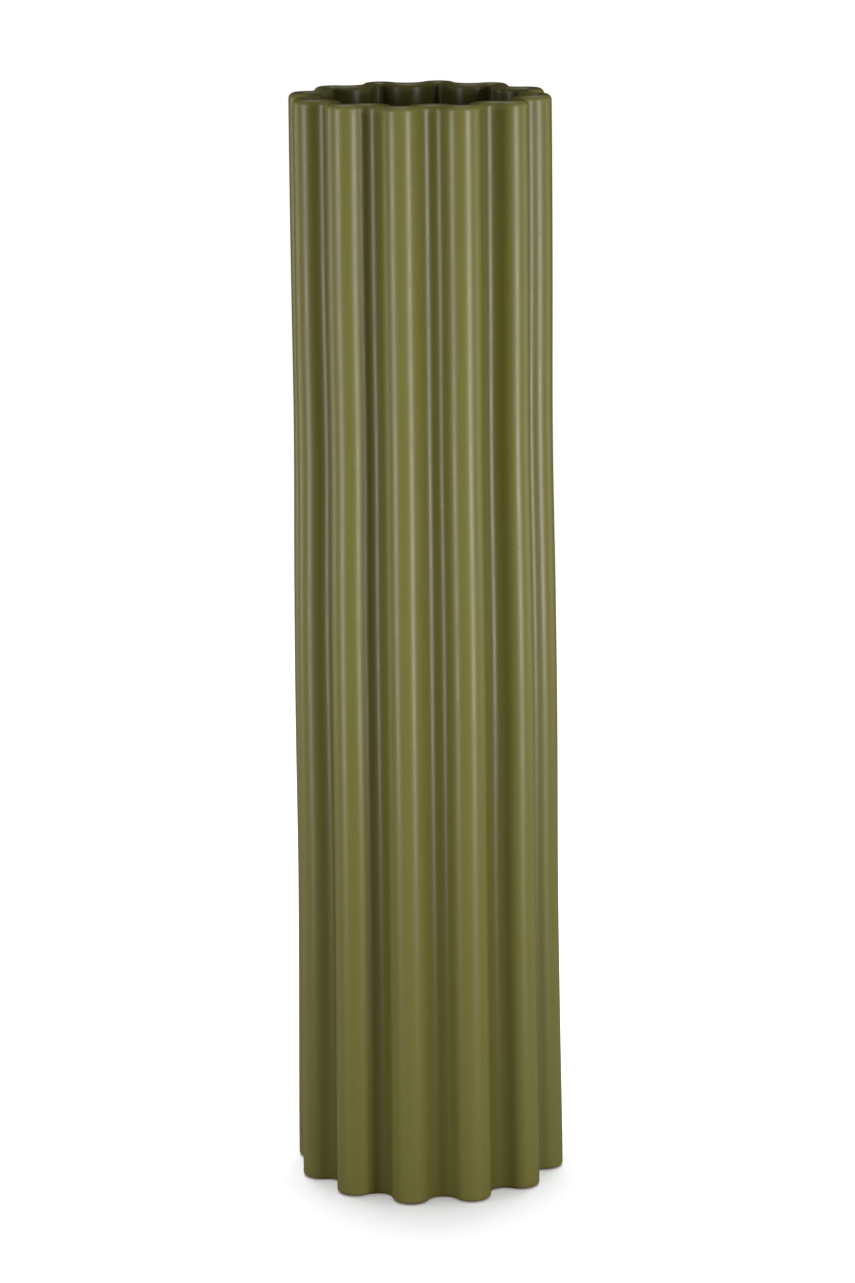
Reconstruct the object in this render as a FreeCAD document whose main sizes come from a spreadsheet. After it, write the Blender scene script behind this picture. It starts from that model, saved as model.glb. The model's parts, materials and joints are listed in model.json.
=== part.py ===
import FreeCAD, Part
import Sketcher
import math
import os

# A tall stoneware vase whose whole wall is fluted: rounded lobes and grooves run straight
# from the foot to the lip. Frame: millimetres, +Z up, origin on the table under the centre
# of the foot, +X through the middle of a lobe.

doc = FreeCAD.newDocument("fluted_vase")

# ---------------------------------------------------------------------------------------
# Driving dimensions, in millimetres
# ---------------------------------------------------------------------------------------
DRIVING = [
    ("height", 450.0, "table to the top of the glazed lip"),
    ("lobe_count", 12, "lobes around the wall"),
    ("foot_radius", 56.0, "axis to the clay crest of a lobe, at the foot"),
    ("foot_flute_depth", 9.2, "crest to groove at the foot"),
    ("foot_lobe_radius", 7.5, "rounding of a lobe's crest at the foot"),
    ("rim_radius", 53.4, "axis to the clay crest of a lobe, at the rim"),
    ("rim_flute_depth", 8.4, "crest to groove at the rim"),
    ("rim_lobe_radius", 7.4, "rounding of a lobe's crest at the rim"),
    ("wall", 4.6, "thickness of the fluted wall"),
    ("lip_rise", 2.0, "height of the lip's rounding"),
    ("lip_inset", 1.7, "width of the lip's rounding on each side"),
    ("foot_edge", 1.0, "bevel around the foot's outer edge"),
    ("floor_thickness", 7.0, "thickness of the floor slab"),
    ("floor_recess", 1.0, "table to the underside of the floor slab"),
    ("upright_band", 5.0, "upright wall above the floor, where the taper starts"),
    ("seam", 1.0, "joining slip between the floor slab's edge and the wall"),
    ("glaze", 0.4, "thickness of each coat of glaze"),
    ("bare_foot", 1.0, "table to the lower edge of the outside glaze"),
]
LIP_STEPS = 3  # slanted bands that make up the lip's quarter-round on each side

sizes = doc.addObject("Spreadsheet::Sheet", "Sizes")
for row, (alias, number, meaning) in enumerate(DRIVING, start=1):
    sizes.set(f"A{row}", alias)
    sizes.set(f"B{row}", str(number))
    sizes.set(f"C{row}", meaning)
    sizes.setAlias(f"B{row}", alias)
doc.recompute()

# Heights worked out from the sheet, as expressions
HALF_PITCH = "180 deg / Sizes.lobe_count"
FLOOR_TOP = "(Sizes.floor_recess + Sizes.floor_thickness)"
LINED_FLOOR = f"({FLOOR_TOP} + Sizes.glaze)"
TAPER_START = f"({LINED_FLOOR} + Sizes.upright_band)"
CLAY_TOP = "(Sizes.height - Sizes.glaze)"
LIP_START = f"({CLAY_TOP} - Sizes.lip_rise)"

# Outlines are named by how far they lie inside the clay's outer face
OUTER_FACE = "0"
INNER_FACE = "Sizes.wall"
MID_LIP = "Sizes.wall / 2"


# ---------------------------------------------------------------------------------------
# Sketches of one lobe of the vase, from groove to groove
# ---------------------------------------------------------------------------------------
def origin_feature(body, role):
    """One of a body's own origin planes or axes."""
    return next(item for item in body.Origin.OriginFeatures if item.Role == role)


def number_of(sketch, expression):
    """The present value of an expression, as a float (angles in degrees)."""
    result = sketch.evalExpression(expression)
    return float(getattr(result, "Value", result))


def add_size(sketch, name, expression, kind, *places):
    """Add a sizing constraint whose value follows an expression."""
    start_value = number_of(sketch, expression)
    if kind == "Angle":
        start_value = math.radians(start_value)
    index = sketch.addConstraint(Sketcher.Constraint(kind, *places, start_value))
    sketch.renameConstraint(index, name)
    sketch.setExpression(f"Constraints.{name}", expression)


def add_ray(sketch, name, end, side):
    """A construction ray from the axis through the groove on one side (1 or -1) of the lobe."""
    turn = FreeCAD.Rotation(FreeCAD.Vector(0, 0, 1), side * number_of(sketch, HALF_PITCH))
    tip = turn.multVec(FreeCAD.Vector(number_of(sketch, f"Sizes.{end}_radius"), 0, 0))
    ray = sketch.addGeometry(Part.LineSegment(FreeCAD.Vector(), tip), True)
    sketch.addConstraint(Sketcher.Constraint("Coincident", ray, 1, -1, 1))
    add_size(sketch, f"{name}_length", f"Sizes.{end}_radius", "Distance", ray)
    add_size(sketch, f"{name}_angle", f"{side} * {HALF_PITCH}", "Angle", ray)
    return ray


def add_outline(sketch, name, end, inward, upper_ray, lower_ray):
    """Half a groove, a lobe and half a groove: three arcs that run smoothly into one another.

    `inward` says how far the outline lies inside the clay's outer face. Returns the arcs of
    the upper and the lower groove.
    """
    crest_centre = f"Sizes.{end}_radius - Sizes.{end}_lobe_radius"
    crest_rounding = f"Sizes.{end}_lobe_radius - ({inward})"
    groove_bottom = f"Sizes.{end}_radius - Sizes.{end}_flute_depth - ({inward})"

    half_pitch = math.radians(number_of(sketch, HALF_PITCH))
    centre = number_of(sketch, crest_centre)
    crest = number_of(sketch, crest_rounding)
    bottom = number_of(sketch, groove_bottom)
    # Groove rounding that touches the crest's arc, from the triangle of axis and both centres
    squares = crest**2 - centre**2 - bottom**2 + 2 * centre * bottom * math.cos(half_pitch)
    groove = squares / (2 * (bottom - centre * math.cos(half_pitch) - crest))
    groove_centre = FreeCAD.Vector(math.cos(half_pitch), math.sin(half_pitch), 0) * (bottom + groove)
    lean = math.atan2(groove_centre.y, groove_centre.x - centre)
    mirrored_centre = FreeCAD.Vector(groove_centre.x, -groove_centre.y, 0)

    up = FreeCAD.Vector(0, 0, 1)
    lobe_circle = Part.Circle(FreeCAD.Vector(centre, 0, 0), up, crest)
    upper_circle = Part.Circle(groove_centre, up, groove)
    lower_circle = Part.Circle(mirrored_centre, up, groove)
    lobe = sketch.addGeometry(Part.ArcOfCircle(lobe_circle, -lean, lean), False)
    upper = sketch.addGeometry(
        Part.ArcOfCircle(upper_circle, math.pi + half_pitch, math.pi + lean), False)
    lower = sketch.addGeometry(
        Part.ArcOfCircle(lower_circle, math.pi - lean, math.pi - half_pitch), False)

    sketch.addConstraint([
        Sketcher.Constraint("PointOnObject", lobe, 3, -1),
        Sketcher.Constraint("PointOnObject", upper, 3, upper_ray),
        Sketcher.Constraint("PointOnObject", upper, 1, upper_ray),
        Sketcher.Constraint("PointOnObject", lower, 3, lower_ray),
        Sketcher.Constraint("PointOnObject", lower, 2, lower_ray),
        Sketcher.Constraint("Tangent", lobe, 2, upper, 2),
        Sketcher.Constraint("Tangent", lower, 1, lobe, 1),
    ])
    add_size(sketch, f"{name}_crest_centre", crest_centre, "DistanceX", -1, 1, lobe, 3)
    add_size(sketch, f"{name}_crest_rounding", crest_rounding, "Radius", lobe)
    add_size(sketch, f"{name}_upper_groove", groove_bottom, "Distance", -1, 1, upper, 1)
    add_size(sketch, f"{name}_lower_groove", groove_bottom, "Distance", -1, 1, lower, 2)
    return upper, lower


def add_side(sketch, first, first_end, second, second_end):
    """A straight edge along the ray between the ends of two outlines."""
    start = sketch.getPoint(first, first_end)
    finish = sketch.getPoint(second, second_end)
    line = sketch.addGeometry(Part.LineSegment(start, finish), False)
    sketch.addConstraint(Sketcher.Constraint("Coincident", line, 1, first, first_end))
    sketch.addConstraint(Sketcher.Constraint("Coincident", line, 2, second, second_end))


def lobe_sketch(body, name, end, level, outer, inner=None):
    """One lobe at a height, between two outlines, or from one outline to the axis."""
    sketch = body.newObject("Sketcher::SketchObject", name)
    sketch.AttachmentSupport = [(origin_feature(body, "XY_Plane"), "")]
    sketch.MapMode = "FlatFace"
    sketch.setExpression("AttachmentOffset.Base.z", level)
    upper_ray = add_ray(sketch, "upper_ray", end, 1)
    lower_ray = add_ray(sketch, "lower_ray", end, -1)
    outer_upper, outer_lower = add_outline(sketch, "outer", end, outer, upper_ray, lower_ray)
    if inner is None:
        add_side(sketch, outer_upper, 1, -1, 1)
        add_side(sketch, outer_lower, 2, -1, 1)
    else:
        inner_upper, inner_lower = add_outline(sketch, "inner", end, inner, upper_ray, lower_ray)
        add_side(sketch, outer_upper, 1, inner_upper, 1)
        add_side(sketch, outer_lower, 2, inner_lower, 2)
    return sketch


# ---------------------------------------------------------------------------------------
# Features
# ---------------------------------------------------------------------------------------
def new_body(label):
    body = doc.addObject("PartDesign::Body", label)
    body.Label = label
    body.Placement = FreeCAD.Placement()
    return body


def loft(body, name, sections):
    """A straight-sided loft through (end, level, outer, inner) sections, lowest first."""
    sketches = []
    for index, (end, level, outer, inner) in enumerate(sections, start=1):
        sketches.append(lobe_sketch(body, f"{name}_section_{index}", end, level, outer, inner))
    feature = body.newObject("PartDesign::AdditiveLoft", name)
    feature.Profile = sketches[0]
    feature.Sections = [(sketch, "") for sketch in sketches[1:]]
    feature.Ruled = True
    return feature


def pad(body, name, level, length, outer, inner=None):
    """One lobe of a flat slab at the foot, raised by a length given as an expression."""
    feature = body.newObject("PartDesign::Pad", name)
    feature.Profile = lobe_sketch(body, f"{name}_outline", "foot", level, outer, inner)
    feature.setExpression("Length", length)
    return feature


def repeat_around(body, features):
    """Repeat one lobe's features around the axis, once for each lobe."""
    pattern = body.newObject("PartDesign::PolarPattern", f"{body.Name}_lobes")
    pattern.Originals = features
    pattern.Axis = (origin_feature(body, "Z_Axis"), [""])
    pattern.Angle = 360
    pattern.setExpression("Occurrences", "Sizes.lobe_count")
    body.Tip = pattern


def lip_sections(outer, inner, outer_sign, inner_sign):
    """Sections up the lip's quarter-round. A sign of 1 draws an outline inward as it rises,
    and -1 draws it outward."""
    sections = []
    for step in range(LIP_STEPS + 1):
        turn = f"{90 * step / LIP_STEPS} deg"
        level = f"{LIP_START} + Sizes.lip_rise * sin({turn})"
        inset = f"Sizes.lip_inset * (1 - cos({turn}))"
        sections.append(("rim", level, f"{outer} + {outer_sign} * {inset}", f"{inner} + {inner_sign} * {inset}"))
    return sections


# ---------------------------------------------------------------------------------------
# Sub-parts
# ---------------------------------------------------------------------------------------
def make_fluted_wall():
    """The clay wall: bevelled foot, upright band beside the floor, taper and rounded lip."""
    body = new_body("fluted_wall")
    sections = [
        ("foot", "0", "Sizes.foot_edge", INNER_FACE),
        ("foot", "Sizes.foot_edge", OUTER_FACE, INNER_FACE),
        ("foot", TAPER_START, OUTER_FACE, INNER_FACE),
    ]
    sections += lip_sections(OUTER_FACE, INNER_FACE, 1, -1)
    repeat_around(body, [loft(body, "wall_lobe", sections)])
    return body


def make_floor_slab():
    """The clay floor, cut to the inside of the wall less the seam."""
    body = new_body("floor_slab")
    edge = f"{INNER_FACE} + Sizes.seam"
    repeat_around(body, [pad(body, "slab_lobe", "Sizes.floor_recess", "Sizes.floor_thickness", edge)])
    return body


def make_slip_seam():
    """The slip that joins the floor slab's edge to the wall."""
    body = new_body("slip_seam")
    edge = f"{INNER_FACE} + Sizes.seam"
    seam = pad(body, "seam_lobe", "Sizes.floor_recess", "Sizes.floor_thickness", INNER_FACE, edge)
    repeat_around(body, [seam])
    return body


def make_outside_glaze():
    """The glaze outside the wall, from just above the foot to the middle of the lip."""
    body = new_body("outside_glaze")
    skin = f"{OUTER_FACE} - Sizes.glaze"
    sections = [
        ("foot", "Sizes.bare_foot", skin, OUTER_FACE),
        ("foot", TAPER_START, skin, OUTER_FACE),
    ]
    sections += lip_sections(skin, OUTER_FACE, 1, 1)
    cap = [
        ("rim", CLAY_TOP, f"{skin} + Sizes.lip_inset", MID_LIP),
        ("rim", "Sizes.height", "Sizes.lip_inset", MID_LIP),
    ]
    repeat_around(body, [loft(body, "outside_lobe", sections), loft(body, "outside_lip", cap)])
    return body


def make_inside_glaze():
    """The glaze that lines the floor and the inside of the wall, up to the middle of the lip."""
    body = new_body("inside_glaze")
    skin = f"{INNER_FACE} + Sizes.glaze"
    sections = [
        ("foot", LINED_FLOOR, INNER_FACE, skin),
        ("foot", TAPER_START, INNER_FACE, skin),
    ]
    sections += lip_sections(INNER_FACE, skin, -1, -1)
    cap = [
        ("rim", CLAY_TOP, MID_LIP, f"{skin} - Sizes.lip_inset"),
        ("rim", "Sizes.height", MID_LIP, f"{INNER_FACE} - Sizes.lip_inset"),
    ]
    lining = pad(body, "lining_floor", FLOOR_TOP, "Sizes.glaze", INNER_FACE)
    repeat_around(body, [lining, loft(body, "lining_lobe", sections), loft(body, "lining_lip", cap)])
    return body


bodies = [
    make_fluted_wall(),
    make_floor_slab(),
    make_slip_seam(),
    make_outside_glaze(),
    make_inside_glaze(),
]
doc.recompute()

# ---------------------------------------------------------------------------------------
# Checks, then one STEP file for each sub-part
# ---------------------------------------------------------------------------------------
for item in doc.Objects:
    if "Invalid" in item.State or "Error" in item.State:
        raise RuntimeError(f"{item.Label} failed: {item.State}")
for body in bodies:
    if body.Shape.isNull() or not body.Shape.isValid() or len(body.Shape.Solids) != 1:
        raise RuntimeError(f"{body.Label} is not one sound solid")

os.makedirs("parts", exist_ok=True)
for body in bodies:
    body.Shape.exportStep(os.path.join("parts", f"{body.Label}.step"))
    box = body.Shape.BoundBox
    print(f"{body.Label}: {body.Shape.Volume / 1000:.1f} cm3, z {box.ZMin:.2f} to {box.ZMax:.2f}, "
          f"x {box.XMin:.2f} to {box.XMax:.2f}, {len(body.Shape.Faces)} faces")
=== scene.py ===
import json
import math

import bpy
from mathutils import Matrix, Vector

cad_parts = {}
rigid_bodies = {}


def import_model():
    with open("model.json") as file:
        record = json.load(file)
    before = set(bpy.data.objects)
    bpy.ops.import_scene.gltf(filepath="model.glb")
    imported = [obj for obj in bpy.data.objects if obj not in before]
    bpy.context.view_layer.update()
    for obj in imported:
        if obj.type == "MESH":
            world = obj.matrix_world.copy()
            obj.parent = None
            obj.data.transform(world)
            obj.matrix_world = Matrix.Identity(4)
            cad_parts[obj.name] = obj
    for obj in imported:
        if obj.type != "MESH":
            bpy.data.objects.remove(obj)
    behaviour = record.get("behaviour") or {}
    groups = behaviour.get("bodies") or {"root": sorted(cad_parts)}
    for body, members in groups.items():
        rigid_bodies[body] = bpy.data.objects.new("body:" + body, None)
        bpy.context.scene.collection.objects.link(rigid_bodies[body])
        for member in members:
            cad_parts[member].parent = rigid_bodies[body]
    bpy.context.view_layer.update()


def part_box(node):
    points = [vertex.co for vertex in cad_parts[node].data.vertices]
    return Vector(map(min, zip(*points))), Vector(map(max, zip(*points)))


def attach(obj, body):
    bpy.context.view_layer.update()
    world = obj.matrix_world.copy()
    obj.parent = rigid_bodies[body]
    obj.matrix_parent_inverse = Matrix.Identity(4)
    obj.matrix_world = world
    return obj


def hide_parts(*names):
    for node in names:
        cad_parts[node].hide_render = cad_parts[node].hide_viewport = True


# A tall fluted stoneware vase with an olive satin glaze. Metres, +Z up, the table at zero.
# Each piece is thrown as a plain round form, ring by ring, and then pressed into flutes.

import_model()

MM = 0.001

# ---------------------------------------------------------------------------------------
# Sizes of the pot
# ---------------------------------------------------------------------------------------
LOBES = 12
STEPS_PER_LOBE = 32          # vertices around one lobe and its groove
HALF_PITCH = math.pi / LOBES
GLAZE = 0.4 * MM
WALL = 4.6 * MM
SEAM = 1.0 * MM              # slip between the floor slab and the wall
FLOOR_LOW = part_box("floor_slab")[0][2]
FLOOR_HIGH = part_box("floor_slab")[1][2]
LINED_FLOOR = FLOOR_HIGH + GLAZE
TAPER_START = LINED_FLOOR + 5.0 * MM
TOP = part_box("outside_glaze")[1][2]
CLAY_TOP = TOP - GLAZE

FOOT = {"radius": 56.0 * MM, "depth": 9.2 * MM, "rounding": 7.5 * MM}
RIM = {"radius": 53.4 * MM, "depth": 8.4 * MM, "rounding": 7.4 * MM}
FOOT_EDGE = 1.0 * MM         # bevel under the wall's outer edge, left bare of glaze
LIP_ROUND = 2.4 * MM         # height of the lip's rounding
LIP_FLAT = 0.2 * MM          # level strip along the lip's ridge, each side of its middle
LIP_STEPS = 7
RISE_STEPS = 44              # rings up the straight part of the wall
COVE = 4.0 * MM              # rounding where the wall's lining meets the floor's
COVE_STEPS = 5
AXIS = 0.05 * MM             # radius of a ring that is about to be closed at the axis
DEEPEST_FLUTE = 7.0 * MM     # rings further in than this keep their outline and only shrink


# ---------------------------------------------------------------------------------------
# The flutes: where a point of the round pot goes when the wall is pressed into lobes
# ---------------------------------------------------------------------------------------
def section_at(height):
    """Crest radius, groove depth and crest rounding at a height."""
    share = (height - TAPER_START) / (CLAY_TOP - TAPER_START)
    share = min(max(share, 0.0), 1.0)
    return tuple(FOOT[key] + (RIM[key] - FOOT[key]) * share for key in ("radius", "depth", "rounding"))


def handmade(angle, height):
    """How far the potter's hand drew the wall in at this place, never outwards.

    The foot keeps its full width; above it the wall is drawn in a little, with one slight
    waist low down and a stronger one at two thirds of the height.
    """
    rise = height / TOP
    above_foot = 1 - math.exp(-(height / (50 * MM))**2)
    low_waist = 0.25 * math.exp(-((height - 130 * MM) / (50 * MM))**2)
    high_waist = 0.70 * math.exp(-((height - 310 * MM) / (50 * MM))**2)
    oval = 0.08 * math.sin(2 * angle + 0.7)
    slow = 0.08 * math.sin(3.1 * math.pi * rise + 1.3 * math.sin(angle + 0.4))
    quick = 0.04 * math.sin(7.3 * math.pi * rise + 2.0 * math.sin(2 * angle + 2.2))
    return (0.06 + above_foot * (0.50 + low_waist + high_waist + oval + slow + quick)) * MM


def press(angle, inward, height):
    """Where the round pot's point at this angle, this far inside its outer face, is pressed to.

    Returns the place as (x, y), and how near it is to a crest, from 0 in a groove to 1.
    """
    radius, depth, rounding = section_at(height)
    radius -= handmade(angle, height)
    lobe = round(angle / (2 * HALF_PITCH))
    local = angle - lobe * 2 * HALF_PITCH
    centre = radius - rounding
    bottom = radius - depth
    squares = rounding**2 - centre**2 - bottom**2 + 2 * centre * bottom * math.cos(HALF_PITCH)
    groove = squares / (2 * (bottom - centre * math.cos(HALF_PITCH) - rounding))
    groove_centre = Vector((math.cos(HALF_PITCH), math.sin(HALF_PITCH))) * (bottom + groove)
    lean = math.atan2(groove_centre.y, groove_centre.x - centre)
    crest_length = rounding * lean
    share = abs(local) / HALF_PITCH
    along = share * (crest_length + groove * (lean - HALF_PITCH))
    offset = min(inward, DEEPEST_FLUTE)
    if along <= crest_length:
        turn = along / rounding
        point = Vector((centre, 0)) + Vector((math.cos(turn), math.sin(turn))) * (rounding - offset)
    else:
        turn = lean - (along - crest_length) / groove
        point = groove_centre - Vector((math.cos(turn), math.sin(turn))) * (groove + offset)
    if local < 0:
        point.y = -point.y
    if inward > DEEPEST_FLUTE:
        point *= (FOOT["radius"] - inward) / (FOOT["radius"] - DEEPEST_FLUTE)
    point.rotate(Matrix.Rotation(lobe * 2 * HALF_PITCH, 2))
    return point, 1 - share


# ---------------------------------------------------------------------------------------
# Throwing a piece ring by ring
# ---------------------------------------------------------------------------------------
def select_ring(piece, height):
    """Select only the ring that waits to be closed at the axis at this height."""
    bpy.ops.mesh.select_all(action="DESELECT")
    bpy.ops.object.mode_set(mode="OBJECT")
    for vertex in piece.data.vertices:
        near_axis = math.hypot(vertex.co.x, vertex.co.y) < 2 * AXIS
        vertex.select = near_axis and abs(vertex.co.z - height) < 0.01 * MM
    bpy.ops.object.mode_set(mode="EDIT")


def throw(name, profile):
    """A round solid from its (inward, height) profile.

    A profile that starts and ends at the axis is closed there; any other is a closed ring.
    """
    rings = [(FOOT["radius"] - inward, height) for inward, height in profile]
    radius, height = rings[0]
    bpy.ops.object.select_all(action="DESELECT")
    bpy.ops.mesh.primitive_circle_add(
        vertices=LOBES * STEPS_PER_LOBE, radius=radius, location=(0, 0, height), fill_type="NOTHING")
    piece = bpy.context.active_object
    piece.name = name
    piece.data.name = name
    bpy.ops.object.transform_apply(location=True, rotation=True, scale=True)
    bpy.ops.object.mode_set(mode="EDIT")
    bpy.ops.mesh.select_mode(type="VERT")
    bpy.ops.mesh.select_all(action="SELECT")
    for next_radius, next_height in rings[1:]:
        bpy.ops.mesh.extrude_edges_move(TRANSFORM_OT_translate={"value": (0, 0, next_height - height)})
        growth = next_radius / radius
        bpy.ops.transform.resize(value=(growth, growth, 1), center_override=(0, 0, next_height))
        radius, height = next_radius, next_height
    if rings[0][0] <= AXIS:
        for _, end_height in (rings[0], rings[-1]):
            select_ring(piece, end_height)
            bpy.ops.mesh.merge(type="CENTER")
    else:
        bpy.ops.mesh.select_all(action="DESELECT")
        bpy.ops.mesh.select_non_manifold()
        bpy.ops.mesh.bridge_edge_loops()
    bpy.ops.mesh.select_all(action="SELECT")
    bpy.ops.mesh.normals_make_consistent(inside=False)
    bpy.ops.object.mode_set(mode="OBJECT")
    return piece


def flute(piece):
    """Press a thrown piece into lobes, and keep each point's nearness to a crest."""
    crest = piece.data.attributes.new("crest", "FLOAT", "POINT")
    for index, vertex in enumerate(piece.data.vertices):
        x, y, height = vertex.co
        pressed, nearness = press(math.atan2(y, x), FOOT["radius"] - math.hypot(x, y), height)
        vertex.co = (pressed.x, pressed.y, height)
        crest.data[index].value = nearness


def finish_piece(piece, node, material, sharp_angle=40):
    """Smooth the piece, give it its material and let it stand for its node."""
    bpy.ops.object.select_all(action="DESELECT")
    piece.select_set(True)
    bpy.context.view_layer.objects.active = piece
    bpy.ops.object.shade_smooth_by_angle(angle=math.radians(sharp_angle))
    piece.data.materials.clear()
    piece.data.materials.append(material)
    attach(piece, "root")
    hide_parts(node)


# ---------------------------------------------------------------------------------------
# Profiles, as (inward of the clay's outer face, height)
# ---------------------------------------------------------------------------------------
def climb(inward, low, high, steps):
    """A straight rise from low to high, ends included."""
    return [(inward, low + (high - low) * step / steps) for step in range(steps + 1)]


def lip_side(side, coat):
    """The lip's rounding from the wall to its ridge, on the outer (0) or inner (1) side.

    `coat` is the thickness of glaze over the clay, or 0 for the clay itself.
    """
    top = CLAY_TOP + coat
    half_width = WALL / 2 + coat - LIP_FLAT
    points = []
    for step in range(LIP_STEPS + 1):
        turn = math.pi / 2 * step / LIP_STEPS
        reach = LIP_FLAT + half_width * math.cos(turn)
        inward = WALL / 2 - reach if side == 0 else WALL / 2 + reach
        points.append((inward, top - LIP_ROUND * (1 - math.sin(turn))))
    return points


def cove(inward, level):
    """The rounding from a wall's lining down to a floor's, highest point first."""
    points = []
    for step in range(COVE_STEPS + 1):
        turn = math.pi / 2 * step / COVE_STEPS
        points.append((inward + COVE * (1 - math.cos(turn)), level + COVE * (1 - math.sin(turn))))
    return points


def outside_glaze_profile():
    """Up the glaze's face from its lower edge, over to the lip's ridge, and down the clay."""
    lip_start = TOP - LIP_ROUND
    edge = [(0.0, FOOT_EDGE), (-0.6 * GLAZE, FOOT_EDGE), (-GLAZE, FOOT_EDGE + 0.5 * GLAZE)]
    face = climb(-GLAZE, FOOT_EDGE + 2 * GLAZE, lip_start, RISE_STEPS)[:-1]
    ridge = [(WALL / 2, TOP), (WALL / 2, CLAY_TOP)]
    clay_lip = lip_side(0, 0.0)[::-1]
    clay = climb(0.0, FOOT_EDGE + 2 * GLAZE, lip_start - GLAZE, RISE_STEPS)[:-1][::-1]
    return edge + face + lip_side(0, GLAZE) + ridge + clay_lip + clay


def inside_glaze_profile():
    """Out along the floor, up the clay to the lip's ridge, and back down the glaze's face."""
    lip_start = TOP - LIP_ROUND
    to_axis = FOOT["radius"] - AXIS
    under = [(to_axis, FLOOR_HIGH), (DEEPEST_FLUTE, FLOOR_HIGH)]
    clay = climb(WALL, FLOOR_HIGH, lip_start - GLAZE, RISE_STEPS)[:-1]
    ridge = [(WALL / 2, CLAY_TOP), (WALL / 2, TOP)]
    glaze_lip = lip_side(1, GLAZE)[::-1]
    face = climb(WALL + GLAZE, LINED_FLOOR + COVE, lip_start, RISE_STEPS)[1:-1][::-1]
    rings = [(to_axis * share, LINED_FLOOR) for share in (0.4, 0.6, 0.8)]
    return under + clay + lip_side(1, 0.0) + ridge + glaze_lip + face + \
        cove(WALL + GLAZE, LINED_FLOOR) + rings + [(to_axis, LINED_FLOOR)]


def wall_profile():
    """Around the clay wall: the foot's ring and bevel, the outside, the lip and the inside."""
    lip_start = CLAY_TOP - LIP_ROUND
    foot = [(WALL, 0.0), (WALL * 0.6, 0.0), (FOOT_EDGE, 0.0), (FOOT_EDGE * 0.3, FOOT_EDGE * 0.3)]
    outside = climb(0.0, FOOT_EDGE, lip_start, RISE_STEPS)[:-1]
    ridge = [(WALL / 2, CLAY_TOP)]
    inside = climb(WALL, FLOOR_LOW, lip_start, RISE_STEPS)[:-1][::-1]
    return foot + outside + lip_side(0, 0.0) + ridge + lip_side(1, 0.0)[::-1] + inside


def floor_profile():
    """Around the floor slab, from the axis under it to the axis on top."""
    edge = WALL + SEAM
    to_axis = FOOT["radius"] - AXIS
    soft = 0.5 * MM
    return [
        (to_axis, FLOOR_LOW), (to_axis * 0.7, FLOOR_LOW), (to_axis * 0.4, FLOOR_LOW),
        (edge + soft, FLOOR_LOW), (edge, FLOOR_LOW + soft),
        (edge, FLOOR_HIGH), (to_axis * 0.4, FLOOR_HIGH), (to_axis, FLOOR_HIGH),
    ]


def seam_profile():
    """Around the slip between the slab and the wall, smoothed hollow by a finger underneath."""
    inner = WALL + SEAM
    hollow = 0.3 * MM
    return [
        (inner, FLOOR_LOW + 2 * hollow), (WALL + 0.5 * SEAM, FLOOR_LOW + hollow), (WALL, FLOOR_LOW),
        (WALL, FLOOR_HIGH), (inner, FLOOR_HIGH),
    ]


# ---------------------------------------------------------------------------------------
# Materials
# ---------------------------------------------------------------------------------------
def socket(tree, way, name, kind, value=None):
    """A named input or output of a node group."""
    made = tree.interface.new_socket(name=name, in_out=way, socket_type=kind)
    if value is not None:
        made.default_value = value


def place(tree, kind, **values):
    """A node with settings as keywords; a value for a socket is passed as a (name, value) list."""
    node = tree.nodes.new(kind)
    for name, value in values.items():
        if name != "inputs":
            setattr(node, name, value)
    for name, value in values.get("inputs", []):
        node.inputs[name].default_value = value
    return node


def noise(tree, vector, scale, detail=2.0, roughness=0.5):
    """A noise pattern, in cycles for each metre."""
    node = place(tree, "ShaderNodeTexNoise", inputs=[
        ("Scale", scale), ("Detail", detail), ("Roughness", roughness)])
    tree.links.new(vector, node.inputs["Vector"])
    return node.outputs["Fac"]


def remap(tree, value, low, high, to_low=0.0, to_high=1.0):
    """A value taken from one range to another, smoothly and clamped."""
    node = place(tree, "ShaderNodeMapRange", interpolation_type="SMOOTHSTEP", inputs=[
        ("From Min", low), ("From Max", high), ("To Min", to_low), ("To Max", to_high)])
    tree.links.new(value, node.inputs["Value"])
    return node.outputs["Result"]


def math_node(tree, operation, first, second):
    """Arithmetic on two sockets, or a socket and a number."""
    node = place(tree, "ShaderNodeMath", operation=operation)
    for index, value in enumerate((first, second)):
        if isinstance(value, (int, float)):
            node.inputs[index].default_value = value
        else:
            tree.links.new(value, node.inputs[index])
    return node.outputs[0]


def blend(tree, factor, first, second, mode="MIX"):
    """Two colours mixed by a factor."""
    node = place(tree, "ShaderNodeMix", data_type="RGBA", blend_type=mode)
    for index, value in ((0, factor), (6, first), (7, second)):
        if hasattr(value, "is_output"):
            tree.links.new(value, node.inputs[index])
        else:
            node.inputs[index].default_value = value
    return node.outputs[2]


def group_shell(name, inputs, outputs):
    """An empty node group with its sockets, its input node and its output node."""
    tree = bpy.data.node_groups.new(name, "ShaderNodeTree")
    for socket_name, kind, value in inputs:
        socket(tree, "INPUT", socket_name, kind, value)
    for socket_name, kind in outputs:
        socket(tree, "OUTPUT", socket_name, kind)
    return tree, place(tree, "NodeGroupInput"), place(tree, "NodeGroupOutput")


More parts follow.
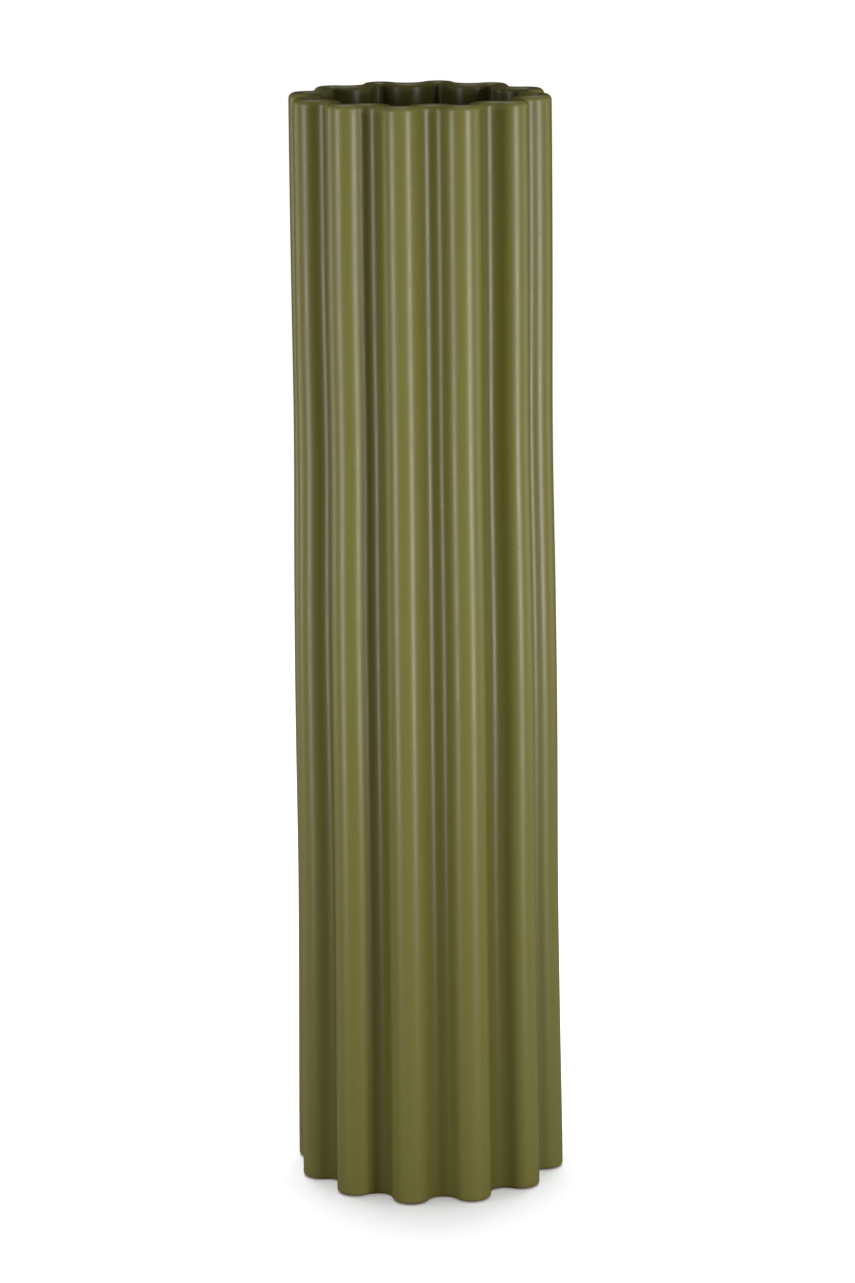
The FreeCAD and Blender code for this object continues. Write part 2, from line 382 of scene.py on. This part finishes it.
def make_glaze_coat():
    """A glaze over fluted clay: darker in the grooves, as pooled glaze with painted shade, thinner along
    the crests and the lip, with slow clouds, faint runs, a few iron specks and a soft orange-peel surface."""
    tree, given, out = group_shell("glaze_coat", [
        ("Vector", "NodeSocketVector", None),
        ("Crest", "NodeSocketFloat", 0.5),
        ("Body", "NodeSocketColor", (0.2, 0.18, 0.05, 1)),
        # darker olive for the grooves: pooled glaze, with painted shade mixed in
        ("Pooled And Shaded", "NodeSocketColor", (0.15, 0.14, 0.03, 1)),
        ("Thin", "NodeSocketColor", (0.3, 0.25, 0.1, 1)),
        ("Lip Height", "NodeSocketFloat", 0.45),
        ("Gloss", "NodeSocketFloat", 0.3),
    ], [("Colour", "NodeSocketColor"), ("Roughness", "NodeSocketFloat"), ("Height", "NodeSocketFloat")])
    vector = given.outputs["Vector"]
    parts = place(tree, "ShaderNodeSeparateXYZ")
    tree.links.new(vector, parts.inputs[0])
    clouds = noise(tree, vector, 14.0, 3.0, 0.55)
    mottle = noise(tree, vector, 110.0, 3.0, 0.6)
    stretch = place(tree, "ShaderNodeMapping", inputs=[("Scale", (150.0, 150.0, 9.0))])
    tree.links.new(vector, stretch.inputs["Vector"])
    runs = noise(tree, stretch.outputs[0], 1.0, 2.0, 0.5)
    peel = noise(tree, vector, 700.0, 2.0, 0.5)
    swell = noise(tree, vector, 60.0, 2.0, 0.5)
    cells = place(tree, "ShaderNodeTexVoronoi", inputs=[("Scale", 260.0), ("Randomness", 1.0)])
    tree.links.new(vector, cells.inputs["Vector"])
    chosen = remap(tree, noise(tree, vector, 90.0, 1.0, 0.5), 0.60, 0.66)
    dots = remap(tree, cells.outputs["Distance"], 0.05, 0.14, 1.0, 0.0)
    specks = math_node(tree, "MULTIPLY", dots, chosen)

    # Painted shade in the grooves: towards the groove bottoms the glaze is mixed with a darker olive,
    # which stands for pooled glaze and for shade.
    pooled_and_shaded = remap(tree, given.outputs["Crest"], 0.05, 0.60, 0.85, 0.0)
    colour = blend(tree, pooled_and_shaded, given.outputs["Body"], given.outputs["Pooled And Shaded"])
    crown = remap(tree, given.outputs["Crest"], 0.72, 1.0, 0.0, 0.22)
    crown = math_node(tree, "MULTIPLY", crown, remap(tree, runs, 0.3, 0.7, 0.4, 1.0))
    colour = blend(tree, crown, colour, given.outputs["Thin"])
    below_lip = math_node(tree, "SUBTRACT", given.outputs["Lip Height"], parts.outputs["Z"])
    ragged = math_node(tree, "ADD", below_lip, remap(tree, mottle, 0.3, 0.7, -0.0012, 0.0012))
    bare_lip = remap(tree, ragged, 0.0, 0.0045, 0.55, 0.0)
    colour = blend(tree, bare_lip, colour, given.outputs["Thin"])
    cloudy = remap(tree, clouds, 0.3, 0.7, 0.0, 0.30)
    colour = blend(tree, cloudy, colour, (0.92, 0.97, 0.80, 1), "MULTIPLY")
    streaky = remap(tree, runs, 0.35, 0.75, 0.0, 0.22)
    colour = blend(tree, streaky, colour, (1.0, 0.90, 0.80, 1), "MULTIPLY")
    mottled = remap(tree, mottle, 0.35, 0.7, 0.0, 0.20)
    colour = blend(tree, mottled, colour, (0.86, 0.88, 0.80, 1), "MULTIPLY")
    colour = blend(tree, math_node(tree, "MULTIPLY", specks, 0.35), colour, (0.05, 0.035, 0.015, 1))

    matt = remap(tree, clouds, 0.3, 0.7, -0.03, 0.03)
    fine = remap(tree, mottle, 0.3, 0.7, -0.02, 0.03)
    rough = math_node(tree, "ADD", given.outputs["Gloss"], math_node(tree, "ADD", matt, fine))
    rough = math_node(tree, "ADD", rough, math_node(tree, "MULTIPLY", bare_lip, 0.06))
    broad = math_node(tree, "MULTIPLY", swell, 0.9)
    height = math_node(tree, "ADD", broad, math_node(tree, "MULTIPLY", peel, 0.1))
    height = math_node(tree, "SUBTRACT", height, math_node(tree, "MULTIPLY", specks, 0.05))
    tree.links.new(colour, out.inputs["Colour"])
    tree.links.new(rough, out.inputs["Roughness"])
    tree.links.new(height, out.inputs["Height"])
    return tree


def make_fired_clay():
    """Bare fired stoneware: flashed tone, dark grog and an open, sandy surface."""
    tree, given, out = group_shell("fired_clay", [
        ("Vector", "NodeSocketVector", None),
        ("Clay", "NodeSocketColor", (0.4, 0.3, 0.2, 1)),
        ("Flashed", "NodeSocketColor", (0.35, 0.2, 0.1, 1)),
        ("Grog", "NodeSocketFloat", 0.6),
    ], [("Colour", "NodeSocketColor"), ("Roughness", "NodeSocketFloat"), ("Height", "NodeSocketFloat")])
    vector = given.outputs["Vector"]
    clouds = noise(tree, vector, 35.0, 3.0, 0.6)
    sand = noise(tree, vector, 1400.0, 3.0, 0.65)
    cells = place(tree, "ShaderNodeTexVoronoi", inputs=[("Scale", 700.0), ("Randomness", 1.0)])
    tree.links.new(vector, cells.inputs["Vector"])
    chosen = remap(tree, noise(tree, vector, 420.0, 1.0, 0.5), 0.52, 0.62)
    grains = remap(tree, cells.outputs["Distance"], 0.12, 0.30, 1.0, 0.0)
    grains = math_node(tree, "MULTIPLY", grains, chosen)
    grains = math_node(tree, "MULTIPLY", grains, given.outputs["Grog"])
    colour = blend(tree, remap(tree, clouds, 0.35, 0.7), given.outputs["Clay"], given.outputs["Flashed"])
    sandy = remap(tree, sand, 0.35, 0.7, 0.0, 0.45)
    colour = blend(tree, sandy, colour, (0.80, 0.78, 0.74, 1), "MULTIPLY")
    colour = blend(tree, grains, colour, (0.07, 0.05, 0.035, 1))
    height = math_node(tree, "SUBTRACT", sand, math_node(tree, "MULTIPLY", grains, 0.4))
    tree.links.new(colour, out.inputs["Colour"])
    tree.links.new(remap(tree, sand, 0.3, 0.7, 0.78, 0.92), out.inputs["Roughness"])
    tree.links.new(height, out.inputs["Height"])
    return tree


def surface_material(name, tree_group, settings, bump_distance, bump_strength, ior):
    """A material around one of the surface groups, read at the piece's own coordinates."""
    material = bpy.data.materials.new(name)
    material.use_nodes = True
    tree = material.node_tree
    tree.nodes.clear()
    shader = place(tree, "ShaderNodeBsdfPrincipled", inputs=[("IOR", ior)])
    out = place(tree, "ShaderNodeOutputMaterial")
    coordinates = place(tree, "ShaderNodeTexCoord")
    effect = place(tree, "ShaderNodeGroup", node_tree=tree_group)
    for socket_name, value in settings.items():
        effect.inputs[socket_name].default_value = value
    bump = place(tree, "ShaderNodeBump", inputs=[("Distance", bump_distance), ("Strength", bump_strength)])
    tree.links.new(coordinates.outputs["Object"], effect.inputs["Vector"])
    if "Crest" in effect.inputs:
        crest = place(tree, "ShaderNodeAttribute", attribute_name="crest")
        tree.links.new(crest.outputs["Fac"], effect.inputs["Crest"])
    tree.links.new(effect.outputs["Colour"], shader.inputs["Base Color"])
    tree.links.new(effect.outputs["Roughness"], shader.inputs["Roughness"])
    tree.links.new(effect.outputs["Height"], bump.inputs["Height"])
    tree.links.new(bump.outputs["Normal"], shader.inputs["Normal"])
    tree.links.new(shader.outputs["BSDF"], out.inputs["Surface"])
    return material


glaze_coat = make_glaze_coat()
fired_clay = make_fired_clay()
OLIVE = (0.198, 0.185, 0.042, 1)
# Darker olive for the grooves: pooled glaze, with painted shade mixed in.
OLIVE_POOLED_AND_SHADED = (0.122, 0.114, 0.019, 1)
OLIVE_THIN = (0.245, 0.228, 0.078, 1)
# The inside's olive is the outside glaze painted darker: painted shade inside the vase.
OLIVE_INSIDE_SHADED = (0.165, 0.148, 0.044, 1)

olive_outside = surface_material("olive_glaze_outside", glaze_coat, {
    "Body": OLIVE, "Pooled And Shaded": OLIVE_POOLED_AND_SHADED, "Thin": OLIVE_THIN, "Lip Height": TOP, "Gloss": 0.35,
}, 0.10 * MM, 0.10, 1.5)
# Inside glaze: the same olive painted darker, as painted shade.
olive_inside_shaded = surface_material("olive_glaze_inside_shaded", glaze_coat, {
    "Body": OLIVE_INSIDE_SHADED, "Pooled And Shaded": OLIVE_POOLED_AND_SHADED, "Thin": OLIVE_THIN, "Lip Height": TOP, "Gloss": 0.34,
}, 0.10 * MM, 0.10, 1.5)
stoneware = surface_material("bare_stoneware", fired_clay, {
    "Clay": (0.36, 0.27, 0.19, 1), "Flashed": (0.27, 0.165, 0.095, 1), "Grog": 0.7,
}, 0.25 * MM, 0.6, 1.45)
slip = surface_material("joining_slip", fired_clay, {
    "Clay": (0.30, 0.22, 0.15, 1), "Flashed": (0.23, 0.15, 0.09, 1), "Grog": 0.15,
}, 0.12 * MM, 0.5, 1.45)

# ---------------------------------------------------------------------------------------
# The pieces
# ---------------------------------------------------------------------------------------
PIECES = [
    ("vase_outside_glaze", outside_glaze_profile, "outside_glaze", "outside_glaze", olive_outside),
    ("vase_inside_glaze", inside_glaze_profile, "inside_glaze", "inside_glaze", olive_inside_shaded),
    ("vase_wall", wall_profile, "fluted_wall", "stoneware", stoneware),
    ("vase_floor", floor_profile, "floor_slab", "stoneware", stoneware),
    ("vase_seam", seam_profile, "slip_seam", "slip", slip),
]
for piece_name, profile, node, slot_name, material in PIECES:
    thrown = throw(piece_name, profile())
    flute(thrown)
    finish_piece(thrown, node, material)

# ---------------------------------------------------------------------------------------
# Table, light and camera
# ---------------------------------------------------------------------------------------
CAMERA_TURN = math.radians(9.5)         # camera's azimuth round the vase
CAMERA_PITCH = math.radians(13.179)     # how far it looks down
CAMERA_ROLL = math.radians(0.60)
CAMERA_DISTANCE = 1.6886                # level distance to the vase's axis
CAMERA_HEIGHT = 0.6204
CAMERA_SIDE = 0.0010                   # sideways from the axis
LENS = 118.28
TABLE_WIDTH = 2.2
TABLE_SEEN = (0.85, 0.855, 0.875)       # what the camera sees
TABLE_BOUNCED = (0.16, 0.16, 0.16)      # what the vase gets back from it
TABLE_GLOW = 0.30

# Strip lights: name, degrees round from the camera, distance, width, power in watts
STRIPS = [
    ("softbox_right", 42, 0.62, 0.14, 2.9),
    ("softbox_left", -49, 0.62, 0.14, 2.1),
    ("softbox_far_right", 97, 0.8, 0.40, 1.0),
    ("softbox_far_left", -106, 0.8, 0.40, 1.3),
]
STRIP_LENGTH = 0.58                     # the strips stand upright, just clear of the table
STRIP_LEVEL = 0.31                      # height of a strip's middle
STRIP_AIM = 0.3                         # height on the vase's axis that it faces
ABOVE_BEHIND = 0.3                      # how far behind the vase the overhead light hangs
ABOVE_LEVEL = 2.2
ABOVE_SIZE = (1.2, 1.2)
ABOVE_AIM = 0.2
ROOM_GLOW = 0.01
BACKDROP = 1.0


def make_table():
    """A white table top. The camera sees it brighter than the light it gives back to the vase."""
    bpy.ops.object.select_all(action="DESELECT")
    bpy.ops.mesh.primitive_plane_add(size=TABLE_WIDTH)
    table = bpy.context.active_object
    table.name = "table_top"
    material = bpy.data.materials.new("white_table")
    material.use_nodes = True
    tree = material.node_tree
    tree.nodes.clear()
    seen = place(tree, "ShaderNodeBsdfPrincipled", inputs=[
        ("Base Color", (*TABLE_SEEN, 1)), ("Roughness", 0.6), ("Specular IOR Level", 0.2),
        ("Emission Color", (1, 1, 1, 1)), ("Emission Strength", TABLE_GLOW)])
    bounced = place(tree, "ShaderNodeBsdfDiffuse", inputs=[("Color", (*TABLE_BOUNCED, 1))])
    rays = place(tree, "ShaderNodeLightPath")
    mix = place(tree, "ShaderNodeMixShader")
    out = place(tree, "ShaderNodeOutputMaterial")
    tree.links.new(rays.outputs["Is Camera Ray"], mix.inputs["Fac"])
    tree.links.new(bounced.outputs[0], mix.inputs[1])
    tree.links.new(seen.outputs[0], mix.inputs[2])
    tree.links.new(mix.outputs[0], out.inputs["Surface"])
    table.data.materials.append(material)
    return table


def around(turn_degrees, distance, height):
    """A place around the vase, turned from the camera's side towards its right."""
    angle = CAMERA_TURN + math.radians(turn_degrees)
    return Vector((distance * math.sin(angle), -distance * math.cos(angle), height))


def lighting_group(name, pieces):
    """A collection that a light can be told to shine on."""
    group = bpy.data.collections.new(name)
    for piece in pieces:
        group.objects.link(piece)
    return group


def make_softbox(name, turn_degrees, distance, level, size, power, aim_height, lit):
    """A soft light around the vase, facing its axis and shining on one lighting group only."""
    data = bpy.data.lights.new(name, "AREA")
    data.shape = "RECTANGLE"
    data.size, data.size_y = size
    data.energy = power
    light = bpy.data.objects.new(name, data)
    bpy.context.collection.objects.link(light)
    light.location = around(turn_degrees, distance, level)
    facing = Vector((0, 0, aim_height)) - light.location
    light.rotation_euler = facing.to_track_quat("-Z", "Y").to_euler()
    light.light_linking.receiver_collection = lit


def make_world(glow, backdrop):
    """A room that lights the vase only by its glow, and is a plain backdrop to the camera."""
    world = bpy.data.worlds.new("studio")
    world.use_nodes = True
    tree = world.node_tree
    tree.nodes.clear()
    room = place(tree, "ShaderNodeBackground", inputs=[("Color", (1, 1, 1, 1)), ("Strength", glow)])
    white = place(tree, "ShaderNodeBackground", inputs=[("Color", (1, 1, 1, 1)), ("Strength", backdrop)])
    rays = place(tree, "ShaderNodeLightPath")
    mix = place(tree, "ShaderNodeMixShader")
    out = place(tree, "ShaderNodeOutputWorld")
    tree.links.new(rays.outputs["Is Camera Ray"], mix.inputs["Fac"])
    tree.links.new(room.outputs[0], mix.inputs[1])
    tree.links.new(white.outputs[0], mix.inputs[2])
    tree.links.new(mix.outputs[0], out.inputs["Surface"])
    bpy.context.scene.world = world


def make_camera():
    """A long lens that looks slightly down on the vase."""
    back = Vector((math.sin(CAMERA_TURN) * math.cos(CAMERA_PITCH),
                   -math.cos(CAMERA_TURN) * math.cos(CAMERA_PITCH), math.sin(CAMERA_PITCH)))
    right = Vector((math.cos(CAMERA_TURN), math.sin(CAMERA_TURN), 0))
    up = back.cross(right)
    rolled_right = right * math.cos(CAMERA_ROLL) - up * math.sin(CAMERA_ROLL)
    rolled_up = up * math.cos(CAMERA_ROLL) + right * math.sin(CAMERA_ROLL)
    data = bpy.data.cameras.new("camera")
    data.lens = LENS
    data.sensor_width = 36
    camera = bpy.data.objects.new("camera", data)
    bpy.context.collection.objects.link(camera)
    turn = Matrix((rolled_right, rolled_up, back)).transposed().to_4x4()
    camera.matrix_world = Matrix.Translation(
        around(0, CAMERA_DISTANCE, CAMERA_HEIGHT) + right * CAMERA_SIDE) @ turn
    bpy.context.scene.camera = camera


on_table = lighting_group("lit_table", [make_table()])
on_vase = lighting_group("lit_vase", [bpy.data.objects[piece[0]] for piece in PIECES])
for name, turn_degrees, distance, width, power in STRIPS:
    size = (width, STRIP_LENGTH)
    make_softbox(name, turn_degrees, distance, STRIP_LEVEL, size, power, STRIP_AIM, on_vase)
for name, power, lit in (("softbox_above_vase", 8, on_vase), ("softbox_above_table", 76, on_table)):
    make_softbox(name, 180, ABOVE_BEHIND, ABOVE_LEVEL, ABOVE_SIZE, power, ABOVE_AIM, lit)
make_world(ROOM_GLOW, BACKDROP)
make_camera()
bpy.context.scene.view_settings.view_transform = "Standard"
